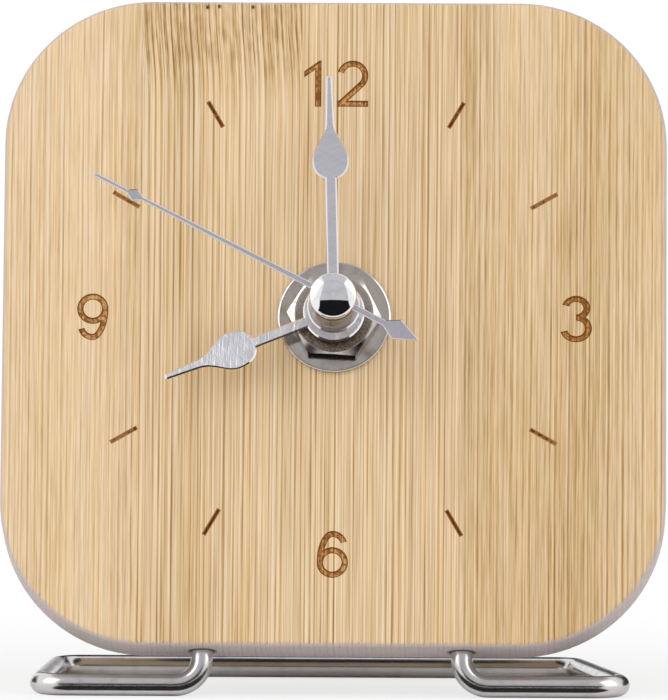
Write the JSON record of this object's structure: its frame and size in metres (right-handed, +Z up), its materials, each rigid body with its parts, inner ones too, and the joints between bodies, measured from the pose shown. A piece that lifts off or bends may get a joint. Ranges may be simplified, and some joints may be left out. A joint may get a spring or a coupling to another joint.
{
  "type": "desk clock",
  "caption": "Leaning bamboo desk clock: engraved rounded-square dial on a bent wire stand, with three metal hands and a battery quartz movement behind.",
  "frame": {"origin": "on the table, under the middle of the clock's bounding box", "axes": "+Z up, dial facing -Y and leaning back, +X to the right as seen from the front"},
  "size_m": [0.1, 0.0474, 0.1033],
  "materials": {
    "bamboo": "oiled, laser engraved",
    "steel_wire": "polished",
    "nickel": "bright nickel plate",
    "hand_aluminium": "fine brushed",
    "chrome_cap": "mirror",
    "brass": "machined",
    "rubber": "matt",
    "black_plastic": "fine texture",
    "wheel_plastic": "moulded acetal",
    "steel": "bright",
    "magnet": "sintered",
    "bobbin_plastic": "moulded",
    "copper": "enamelled wire",
    "circuit_board": "solder mask",
    "potting": "epoxy",
    "cell_can": "plated",
    "cell_sleeve": "plain printed film"
  },
  "bodies": {
    "clock_body": {"dial_board": "bamboo", "wire_stand": "steel_wire", "rubber_gasket": "rubber", "threaded_bushing": "brass", "front_washer": "nickel", "hex_nut": "nickel", "stator": "steel", "coil_core": "steel", "coil_bobbin": "bobbin_plastic", "coil_winding": "copper", "circuit_board": "circuit_board", "driver_chip": "potting", "quartz_crystal": "steel", "negative_contact": "steel", "positive_contact": "steel", "movement_case": "black_plastic", "middle_plate": "black_plastic", "back_cover": "black_plastic"},
    "second_train": {"second_hand": "hand_aluminium", "second_hand_tube": "brass", "center_cap": "chrome_cap", "second_arbor": "steel", "second_wheel": "wheel_plastic"},
    "minute_train": {"minute_hand": "hand_aluminium", "minute_hand_nut": "nickel", "minute_pipe": "brass", "clutch_washer": "steel", "center_wheel": "wheel_plastic"},
    "hour_train": {"hour_hand": "hand_aluminium", "hour_wheel": "wheel_plastic"},
    "motion_work": {"motion_wheel": "wheel_plastic"},
    "third_train": {"third_wheel": "wheel_plastic"},
    "fifth_train": {"fifth_wheel": "wheel_plastic"},
    "rotor": {"rotor_pinion": "wheel_plastic", "rotor_magnet": "magnet"},
    "hand_setting": {"setting_stem": "wheel_plastic", "setting_knob": "black_plastic"},
    "cell": {"cell_can": "cell_can", "cell_sleeve": "cell_sleeve"}
  },
  "joints": [
    {"name": "second_hand_turn", "type": "hinge", "parent": "clock_body", "child": "second_train", "pos_m": [0, -0.00828, 0.05626], "axis": [0, 0.9593, -0.2823], "continuous": true},
    {"name": "minute_hand_turn", "type": "hinge", "parent": "clock_body", "child": "minute_train", "pos_m": [0, -0.00828, 0.05626], "axis": [0, 0.9593, -0.2823], "continuous": true},
    {"name": "hour_hand_turn", "type": "hinge", "parent": "clock_body", "child": "hour_train", "pos_m": [0, -0.00828, 0.05626], "axis": [0, 0.9593, -0.2823], "continuous": true},
    {"name": "third_wheel_turn", "type": "hinge", "parent": "clock_body", "child": "third_train", "pos_m": [0.0051, -0.00579, 0.06473], "axis": [0, 0.9593, -0.2823], "continuous": true},
    {"name": "motion_wheel_turn", "type": "hinge", "parent": "clock_body", "child": "motion_work", "pos_m": [-0.00779, -0.00701, 0.06058], "axis": [0, 0.9593, -0.2823], "continuous": true},
    {"name": "setting_knob_turn", "type": "hinge", "parent": "clock_body", "child": "hand_setting", "pos_m": [-0.01679, -0.00701, 0.06058], "axis": [0, 0.9593, -0.2823], "continuous": true},
    {"name": "fifth_wheel_turn", "type": "hinge", "parent": "clock_body", "child": "fifth_train", "pos_m": [0.00727, -0.00947, 0.05223], "axis": [0, 0.9593, -0.2823], "continuous": true},
    {"name": "rotor_turn", "type": "hinge", "parent": "clock_body", "child": "rotor", "pos_m": [0.01291, -0.00889, 0.0542], "axis": [0, 0.9593, -0.2823], "continuous": true},
    {"name": "cell_slide", "type": "slide", "parent": "clock_body", "child": "cell", "axis": [0, 0.9593, -0.2823], "range_m": [0, 0.022]}
  ],
  "couplings": [
    {"joint": "minute_hand_turn", "follows": "second_hand_turn", "ratio": 0.016667},
    {"joint": "hour_hand_turn", "follows": "second_hand_turn", "ratio": 0.0013889},
    {"joint": "third_wheel_turn", "follows": "second_hand_turn", "ratio": -0.13333},
    {"joint": "motion_wheel_turn", "follows": "second_hand_turn", "ratio": -0.0055556},
    {"joint": "setting_knob_turn", "follows": "second_hand_turn", "ratio": 0.016667},
    {"joint": "fifth_wheel_turn", "follows": "second_hand_turn", "ratio": -6},
    {"joint": "rotor_turn", "follows": "second_hand_turn", "ratio": 30}
  ]
}
